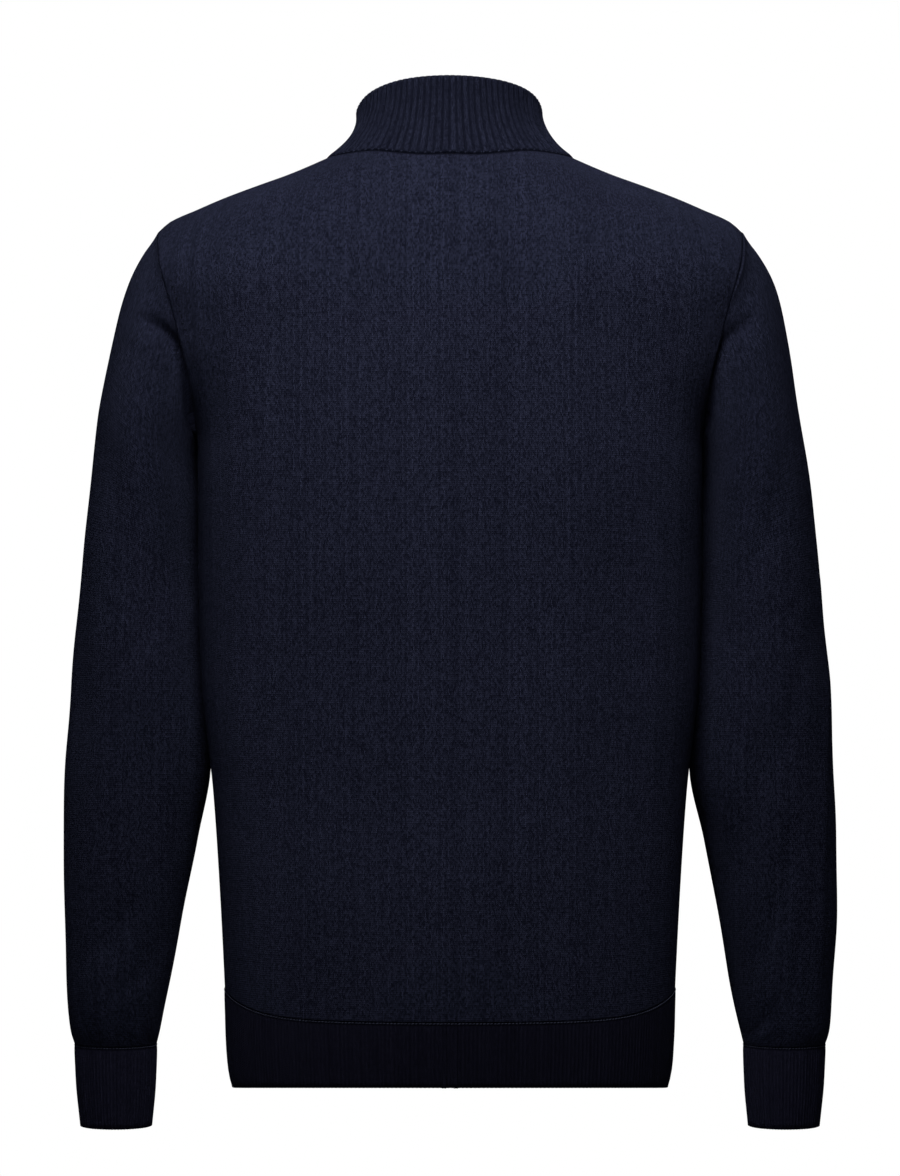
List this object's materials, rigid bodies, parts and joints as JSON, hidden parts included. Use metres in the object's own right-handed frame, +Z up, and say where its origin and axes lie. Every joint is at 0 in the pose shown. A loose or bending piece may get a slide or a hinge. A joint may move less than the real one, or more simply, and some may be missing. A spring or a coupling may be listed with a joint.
{
  "type": "quarter zip sweater",
  "caption": "Men's quarter zip sweater in dark navy fine knit, filled out as worn, with a ribbed stand collar, hem and cuffs",
  "frame": {"origin": "middle of the neck at the height of the high shoulder points, where the wearer's shoulders carry the sweater", "axes": "+Z up along the body, -Y the way the front faces, +X the wearer's left"},
  "size_m": [0.579, 0.2555, 0.7825],
  "materials": {
    "knit": "fine-gauge plain knit, dark navy, matt with a soft nap",
    "rib": "ribbed knit, dark navy, matt",
    "tape": "herringbone woven tape, near black navy",
    "zip_metal": "dark gunmetal, satin"
  },
  "bodies": {
    "sweater": {"back": "knit", "front": "knit", "sleeve_left": "knit", "sleeve_right": "knit", "collar": "rib", "hem_rib_back": "rib", "hem_rib_front": "rib", "cuff_left": "rib", "cuff_right": "rib", "zip_tape_left": "tape", "zip_tape_right": "tape", "zip_slider": "zip_metal", "zip_top_stop_left": "zip_metal", "zip_top_stop_right": "zip_metal", "zip_bottom_stop": "zip_metal"},
    "pull_tab": {"zip_pull_tab": "zip_metal"}
  },
  "joints": [
    {"name": "pull_tab_hinge", "type": "hinge", "parent": "sweater", "child": "pull_tab", "pos_m": [0, -0.07896, -0.01546], "axis": [-1, 0, 0], "range_deg": [0, 160]}
  ]
}
